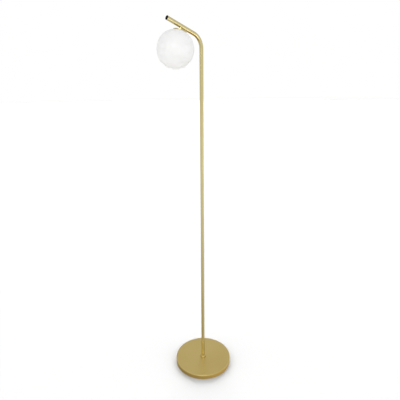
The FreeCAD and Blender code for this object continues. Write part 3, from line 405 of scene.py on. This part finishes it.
def striped_sleeve(name, tint, stripe):
    """Green PVC sleeve with yellow stripes extruded into it: two clear colours, soft gloss."""
    material, tree = new_material(name)
    place = add(tree, "ShaderNodeTexCoord").outputs["Object"]
    # Each stripe winds once round in about 10 mm, so it crosses the wire every 2.4 mm.
    bands = add(tree, "ShaderNodeTexWave", {
        "Vector": place, "Scale": 0.05 / (2.4 * MM),
    }, wave_type="BANDS", bands_direction="DIAGONAL")
    edge = add(tree, "ShaderNodeMapRange", {
        "Value": bands.outputs["Fac"], "From Min": 0.45, "From Max": 0.55,
    })
    tone = add(tree, "ShaderNodeMix", {
        "Factor": edge.outputs["Result"], "A": (*tint, 1.0), "B": (*stripe, 1.0),
    }, data_type="RGBA")
    skin = add(tree, "ShaderNodeTexNoise", {"Vector": place, "Scale": 1 / (0.8 * MM)})
    gloss = add(tree, "ShaderNodeMapRange", {
        "Value": skin.outputs["Fac"], "To Min": 0.35, "To Max": 0.45,
    })
    shader = add(tree, "ShaderNodeBsdfPrincipled", {
        "Base Color": tone.outputs["Result"], "Roughness": gloss.outputs["Result"], "IOR": 1.53,
    })
    add(tree, "ShaderNodeOutputMaterial", {"Surface": shader.outputs["BSDF"]})
    return material


def closed_cell_foam(tint):
    """Cut sheet of closed-cell foam: matt black, with its cells showing."""
    material, tree = new_material("closed_cell_foam")
    place = add(tree, "ShaderNodeTexCoord").outputs["Object"]
    # Cells are about 0.4 mm across; 1.2 mm is the finest that shows.
    cells = add(tree, "ShaderNodeTexVoronoi", {"Vector": place, "Scale": 1 / (1.2 * MM)})
    tone = add(tree, "ShaderNodeMix", {
        "Factor": cells.outputs["Distance"], "A": (*tint, 1.0), "B": (*shade(tint, 1.8), 1.0),
    }, data_type="RGBA")
    relief = add(tree, "ShaderNodeBump", {
        "Height": cells.outputs["Distance"], "Distance": 0.2 * MM, "Strength": 0.5,
    })
    shader = add(tree, "ShaderNodeBsdfPrincipled", {
        "Base Color": tone.outputs["Result"],
        "Roughness": 0.9,
        "IOR": 1.5,
        "Normal": relief.outputs["Normal"],
        "Sheen Weight": 0.2,
    })
    add(tree, "ShaderNodeOutputMaterial", {"Surface": shader.outputs["BSDF"]})
    return material


def drawn_clear_glass():
    """Drawn borosilicate tube: clear, with bright edges and a very slight waviness."""
    material, tree = new_material("drawn_clear_glass")
    place = add(tree, "ShaderNodeTexCoord").outputs["Object"]
    wave = add(tree, "ShaderNodeTexNoise", {"Vector": place, "Scale": 1 / (9.0 * MM)})
    gloss = add(tree, "ShaderNodeMapRange", {
        "Value": wave.outputs["Fac"], "To Min": 0.02, "To Max": 0.06,
    })
    shader = add(tree, "ShaderNodeBsdfPrincipled", {
        "Base Color": WHITE,
        "Roughness": gloss.outputs["Result"],
        "IOR": 1.47,
        "Transmission Weight": 1.0,
    })
    add(tree, "ShaderNodeOutputMaterial", {"Surface": shader.outputs["BSDF"]})
    return material


def matt_white_floor(tint):
    """Emulsion paint on a board: matt, with nothing that shines."""
    material, tree = new_material("matt_white_floor")
    shader = add(tree, "ShaderNodeBsdfPrincipled", {
        "Base Color": (*tint, 1.0), "Roughness": 0.9, "Specular IOR Level": 0.1,
    })
    add(tree, "ShaderNodeOutputMaterial", {"Surface": shader.outputs["BSDF"]})
    return material


def dress(material, *names):
    """Gives CAD nodes their material."""
    for name in names:
        mesh = NODES[name].data
        mesh.materials.clear()
        mesh.materials.append(material)


# ---- Fine pieces ---------------------------------------------------------------------------

def new_piece(name, work, material):
    """Turns a bmesh into a piece that rides on the lamp, shaded smooth where it is round."""
    bmesh.ops.recalc_face_normals(work, faces=work.faces)
    mesh = bpy.data.meshes.new(name)
    work.to_mesh(mesh)
    work.free()
    mesh.shade_smooth()
    mesh.set_sharp_from_angle(angle=SHARP_EDGE)
    mesh.materials.append(material)
    piece = bpy.data.objects.new(name, mesh)
    bpy.context.scene.collection.objects.link(piece)
    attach(piece, BODY)
    return piece


def ring(work, place, z, reaches):
    """Points round an upright axis at height z, each at its own reach from it, then placed."""
    points = []
    for index, reach in enumerate(reaches):
        turn = 2 * math.pi * index / len(reaches)
        point = Vector((reach * math.cos(turn), reach * math.sin(turn), z))
        points.append(work.verts.new(place @ point))
    return points


def grid_faces(work, rows):
    """Joins rings of points, each to the next one and the last one to the first."""
    for lower, upper in zip(rows, rows[1:] + rows[:1]):
        for index in range(len(lower)):
            following = (index + 1) % len(lower)
            work.faces.new((lower[index], lower[following], upper[following], upper[index]))


def threaded_tube(name, node, bore, pitch, tilt, material):
    """A hollow tube with a rolled thread, in the place of a plain CAD one.

    The CAD tube stands upright or leans by tilt about Y, and its box gives its length and radius.
    """
    low, high = (Vector(corner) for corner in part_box(node))
    radius = (high.y - low.y) / 2
    span = (high.z - low.z - 2 * radius * math.sin(tilt)) / math.cos(tilt)
    place = Matrix.Translation((low + high) / 2) @ Matrix.Rotation(tilt, 4, "Y")
    depth = THREAD_DEPTH * pitch
    count = round(span / pitch * THREAD_STEPS)
    work = bmesh.new()
    rows = []
    for step in range(count + 1):
        z = -span / 2 + span * step / count
        # The thread runs out in a bevel at both ends.
        bevel = depth - min(z + span / 2, span / 2 - z)
        reaches = []
        for index in range(THREAD_SIDES):
            phase = (z / pitch - index / THREAD_SIDES) % 1.0
            reaches.append(radius - max(depth * abs(2 * phase - 1), bevel))
        rows.append(ring(work, place, z, reaches))
    for z in (span / 2, -span / 2):
        rows.append(ring(work, place, z, [bore / 2] * THREAD_SIDES))
    grid_faces(work, rows)
    piece = new_piece(name, work, material)
    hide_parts(node)


def light_board(place, size, material):
    """The strip's thin board, with its edges bevelled."""
    work = bmesh.new()
    bmesh.ops.create_cube(work, size=1.0, matrix=place @ Matrix.Diagonal((*size, 1.0)))
    bmesh.ops.bevel(work, geom=list(work.edges), offset=BOARD_BEVEL * size.x, segments=2,
                    affect="EDGES")
    new_piece("bulb_light_board", work, material)


def light_chips(place, size, radius, material):
    """Two columns of low round chips on each face of the board."""
    work = bmesh.new()
    spacing = CHIP_SPACING * radius
    flat = Matrix.Diagonal((CHIP_THICKNESS, 1.0, 1.0, 1.0))
    for side in (-1, 1):
        for column in CHIP_COLUMNS:
            for row in CHIP_ROWS:
                spot = Vector((side * size.x / 2, column * spacing, row * spacing))
                bmesh.ops.create_icosphere(work, subdivisions=3, radius=radius,
                                           matrix=place @ Matrix.Translation(spot) @ flat)
    new_piece("bulb_light_chips", work, material)


# ---- Operators -----------------------------------------------------------------------------

class LAMP_OT_pole(bpy.types.Operator):
    """Plates the pole, the arm, the stem and the cap"""

    bl_idname = "lamp.pole"
    bl_label = "Pole, arm and cap"

    def execute(self, context):
        finish = context.scene.lamp_finishes
        plate = satin_brass_plate(tuple(finish.plating), tuple(finish.plating_deep))
        dress(plate, "lower_tube", "middle_tube", "upper_bent_tube", "stem_spacer", "globe_cap")
        return {"FINISHED"}


class LAMP_OT_base(bpy.types.Operator):
    """Finishes the base cover, the ring at the pole's foot, the casting and the foam sheet"""

    bl_idname = "lamp.base"
    bl_label = "Base"

    def execute(self, context):
        finish = context.scene.lamp_finishes
        # The base gets the deeper, more yellow copy of the brass: painted shade.
        plate = spun_brass_with_painted_shade(tuple(finish.cover), tuple(finish.cover_deep))
        dress(plate, "base_cover", "foot_collar")
        dress(primed_cast_iron(tuple(finish.iron)), "base_weight")
        dress(closed_cell_foam(tuple(finish.foam)), "floor_pad")
        return {"FINISHED"}


class LAMP_OT_globe(bpy.types.Operator):
    """Finishes the opal globe and its silicone ring"""

    bl_idname = "lamp.globe"
    bl_label = "Globe"

    def execute(self, context):
        finish = context.scene.lamp_finishes
        dress(opal_glass_with_painted_glow(tuple(finish.opal)), "globe")
        dress(silicone_rubber(tuple(finish.silicone)), "globe_gasket")
        return {"FINISHED"}


class LAMP_OT_plastics(bpy.types.Operator):
    """Finishes the arm's end plug, the cable bush and the terminal block"""

    bl_idname = "lamp.plastics"
    bl_label = "Plastic parts"

    def execute(self, context):
        finish = context.scene.lamp_finishes
        dress(nylon_with_painted_shade(tuple(finish.nylon)), "arm_end_plug", "cable_inlet_bush")
        dress(moulded_polyamide(tuple(finish.polyamide)), "terminal_block")
        return {"FINISHED"}


class LAMP_OT_hardware(bpy.types.Operator):
    """Finishes the inner metal parts, and rolls the threads of the hollow tubes"""

    bl_idname = "lamp.hardware"
    bl_label = "Inner hardware"

    def execute(self, context):
        finish = context.scene.lamp_finishes
        detail = context.scene.lamp_details
        zinc = zinc_plated_steel(tuple(finish.zinc))
        dress(zinc, "base_stud", "base_washer", "base_nut", "wiring_cover", "wiring_cover_screws",
              "earth_screw", "pole_foot_insert", "lower_tube_insert", "middle_tube_lower_insert",
              "middle_tube_upper_insert", "upper_tube_insert", "lower_joint_stud",
              "upper_joint_stud", "arm_cross_nut", "head_nipple", "head_nut", "globe_spring",
              "lampholder_plate", "lampholder_screws", "bulb_pins", "terminal_screws")
        brass = drawn_brass(tuple(finish.brass))
        dress(brass, "terminal_clamps", "lampholder_contacts", "earth_tag")
        for node in ("base_stud", "lower_joint_stud", "upper_joint_stud"):
            threaded_tube(node + "_thread", node, detail.stud_bore, detail.pitch, 0.0, zinc)
        threaded_tube("head_nipple_thread", "head_nipple", detail.nipple_bore, detail.pitch,
                      detail.head_tilt, zinc)
        return {"FINISHED"}


class LAMP_OT_bulb(bpy.types.Operator):
    """Finishes the ceramic lampholder and the bulb, and puts the light strip in the bulb"""

    bl_idname = "lamp.bulb"
    bl_label = "Lampholder and bulb"

    def execute(self, context):
        finish = context.scene.lamp_finishes
        detail = context.scene.lamp_details
        ceramic = glazed_steatite(tuple(finish.ceramic))
        dress(ceramic, "lampholder_body", "bulb_base")
        dress(drawn_clear_glass(), "bulb_envelope")
        low, high = (Vector(corner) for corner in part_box("bulb_envelope"))
        place = Matrix.Translation((low + high) / 2) @ Matrix.Rotation(detail.head_tilt, 4, "Y")
        size = Vector((detail.strip_thickness, detail.strip_width, detail.strip_length))
        light_board(place, size, ceramic)
        light_chips(place, size, detail.chip_radius, phosphor_resin(tuple(finish.phosphor)))
        return {"FINISHED"}


class LAMP_OT_wires(bpy.types.Operator):
    """Finishes the three single wires"""

    bl_idname = "lamp.wires"
    bl_label = "Wires"

    def execute(self, context):
        finish = context.scene.lamp_finishes
        dress(extruded_sleeve("brown_sleeve", tuple(finish.live)), "live_lead")
        dress(extruded_sleeve("blue_sleeve", tuple(finish.neutral)), "neutral_lead")
        dress(striped_sleeve("green_and_yellow_sleeve", tuple(finish.earth),
                             tuple(finish.earth_stripe)), "earth_lead")
        return {"FINISHED"}


class LAMP_OT_stage(bpy.types.Operator):
    """Makes the pale floor, the soft light and the camera"""

    bl_idname = "lamp.stage"
    bl_label = "Studio"

    def floor(self, scene, stage):
        """A wide matt sheet that no reflection shows."""
        work = bmesh.new()
        bmesh.ops.create_circle(work, cap_ends=True, segments=FLOOR_SIDES, radius=FLOOR_RADIUS)
        mesh = bpy.data.meshes.new("studio_floor")
        work.to_mesh(mesh)
        work.free()
        mesh.materials.append(matt_white_floor(tuple(stage.sheet)))
        floor = bpy.data.objects.new("studio_floor", mesh)
        floor.visible_glossy = False
        scene.collection.objects.link(floor)
        return floor

    def surround(self, scene, stage, heading):
        """Soft light from all round, in bands of height, behind a plain white sheet."""
        world = bpy.data.worlds.new("white_surround")
        scene.world = world
        world.use_nodes = True
        tree = world.node_tree
        tree.nodes.clear()
        way = add(tree, "ShaderNodeTexCoord").outputs["Generated"]
        # The ramp runs from 0 straight down to 1 straight up.
        up = add(tree, "ShaderNodeSeparateXYZ", {"Vector": way}).outputs["Z"]
        rise = add(tree, "ShaderNodeMath", {0: up, 1: 0.5, 2: 0.5}, operation="MULTIPLY_ADD")
        bands = add(tree, "ShaderNodeValToRGB", {"Fac": rise.outputs["Value"]})
        stops = bands.color_ramp.elements
        while len(stops) < len(SURROUND):
            stops.new(0.5)
        for stop, (degrees, brightness, tint) in zip(stops, SURROUND):
            stop.position = 0.5 + 0.5 * math.sin(math.radians(degrees))
            stop.color = (*(brightness / RAMP_HEADROOM * c for c in linear(tint)), 1.0)
        side = add(tree, "ShaderNodeVectorMath", {
            0: way, 1: heading @ Vector((1.0, 0.0, 0.0)),
        }, operation="DOT_PRODUCT")
        lean = add(tree, "ShaderNodeMapRange", {
            "Value": up, "From Min": LEAN_LOW, "From Max": LEAN_HIGH,
            "To Min": stage.low_side, "To Max": stage.side,
        })
        tilt = add(tree, "ShaderNodeMath", {
            0: side.outputs["Value"], 1: lean.outputs["Result"], 2: 1.0,
        }, operation="MULTIPLY_ADD")
        brightness = add(tree, "ShaderNodeMath", {
            0: tilt.outputs["Value"], 1: RAMP_HEADROOM * stage.sky,
        }, operation="MULTIPLY")
        light = add(tree, "ShaderNodeBackground", {
            "Color": bands.outputs["Color"], "Strength": brightness.outputs["Value"],
        })
        paper = add(tree, "ShaderNodeBackground", {"Color": WHITE, "Strength": 1.0})
        seen = add(tree, "ShaderNodeLightPath").outputs["Is Camera Ray"]
        both = add(tree, "ShaderNodeMixShader", {
            0: seen, 1: light.outputs["Background"], 2: paper.outputs["Background"],
        })
        add(tree, "ShaderNodeOutputWorld", {"Surface": both.outputs["Shader"]})

    def light(self, scene, heading, name, kind, settings, place, target):
        """A lamp that faces a point, both given in the camera's heading."""
        lamp = bpy.data.lights.new(name, kind)
        for setting, value in settings.items():
            setattr(lamp, setting, value)
        holder = bpy.data.objects.new(name, lamp)
        start, end = heading @ Vector(place), heading @ Vector(target)
        holder.location = start
        holder.rotation_mode = "QUATERNION"
        holder.rotation_quaternion = (end - start).to_track_quat("-Z", "Y")
        scene.collection.objects.link(holder)
        return holder

    def reach(self, light, state, piece):
        """Lets a light fall on nothing but a piece, or on everything but it."""
        group = bpy.data.collections.new(light.name + "_reach")
        light.light_linking.receiver_collection = group
        group.objects.link(piece)
        for held in group.collection_objects:
            held.light_linking.link_state = state

    def camera(self, scene, stage, heading):
        """The camera, looking along its heading and down."""
        lens = bpy.data.cameras.new("camera")
        lens.lens = stage.lens
        lens.sensor_width = SENSOR_WIDTH
        viewer = bpy.data.objects.new("camera", lens)
        place = Matrix.Translation(Vector((stage.across, -stage.back, stage.height)))
        dip = Matrix.Rotation(math.pi / 2 - stage.dip, 4, "X")
        roll = Matrix.Rotation(-stage.roll, 4, "Z")
        viewer.matrix_world = heading.to_4x4() @ place @ dip @ roll
        scene.collection.objects.link(viewer)
        scene.camera = viewer

    def execute(self, context):
        scene = context.scene
        stage = scene.lamp_stage
        scene.view_settings.view_transform = "Standard"
        heading = Matrix.Rotation(-stage.turn, 3, "Z")
        floor = self.floor(scene, stage)
        self.surround(scene, stage, heading)
        for name, share, place in WASHES:
            wash = self.light(scene, heading, "floor_wash_" + name, "SUN", {
                "energy": share * stage.wash, "angle": WASH_ANGLE,
            }, place, WASH_TARGET)
            self.reach(wash, "INCLUDE", floor)
        front = self.light(scene, heading, "soft_front", "AREA", {
            "energy": stage.front, "size": FRONT_SIZE,
        }, FRONT_PLACE, FRONT_TARGET)
        self.reach(front, "EXCLUDE", floor)
        card = self.light(scene, heading, "floor_card", "AREA", {
            "energy": stage.card, "size": CARD_SIZE, "color": tuple(stage.card_tint),
            "spread": CARD_SPREAD,
        }, CARD_PLACE, CARD_TARGET)
        self.reach(card, "INCLUDE", NODES["upper_bent_tube"])
        self.camera(scene, stage, heading)
        return {"FINISHED"}


OPERATORS = (LAMP_OT_pole, LAMP_OT_base, LAMP_OT_globe, LAMP_OT_plastics, LAMP_OT_hardware,
             LAMP_OT_bulb, LAMP_OT_wires, LAMP_OT_stage)


class LAMP_PT_panel(bpy.types.Panel):
    """Lists the lamp's operators"""

    bl_idname = "LAMP_PT_panel"
    bl_label = "Globe floor lamp"
    bl_space_type = "VIEW_3D"
    bl_region_type = "UI"
    bl_category = "Lamp"

    def draw(self, context):
        for operator in OPERATORS:
            self.layout.operator(operator.bl_idname)


CLASSES = (LampFinishes, LampDetails, LampStage, *OPERATORS, LAMP_PT_panel)


def register():
    """Registers the classes, and puts their sizes and colours on the scene."""
    for item in CLASSES:
        bpy.utils.register_class(item)
    bpy.types.Scene.lamp_finishes = PointerProperty(type=LampFinishes)
    bpy.types.Scene.lamp_details = PointerProperty(type=LampDetails)
    bpy.types.Scene.lamp_stage = PointerProperty(type=LampStage)


def unregister():
    """Undoes register."""
    del bpy.types.Scene.lamp_stage
    del bpy.types.Scene.lamp_details
    del bpy.types.Scene.lamp_finishes
    for item in reversed(CLASSES):
        bpy.utils.unregister_class(item)


def main():
    register()
    for operator in OPERATORS:
        group, name = operator.bl_idname.split(".")
        getattr(getattr(bpy.ops, group), name)()


if __name__ == "__main__":
    main()
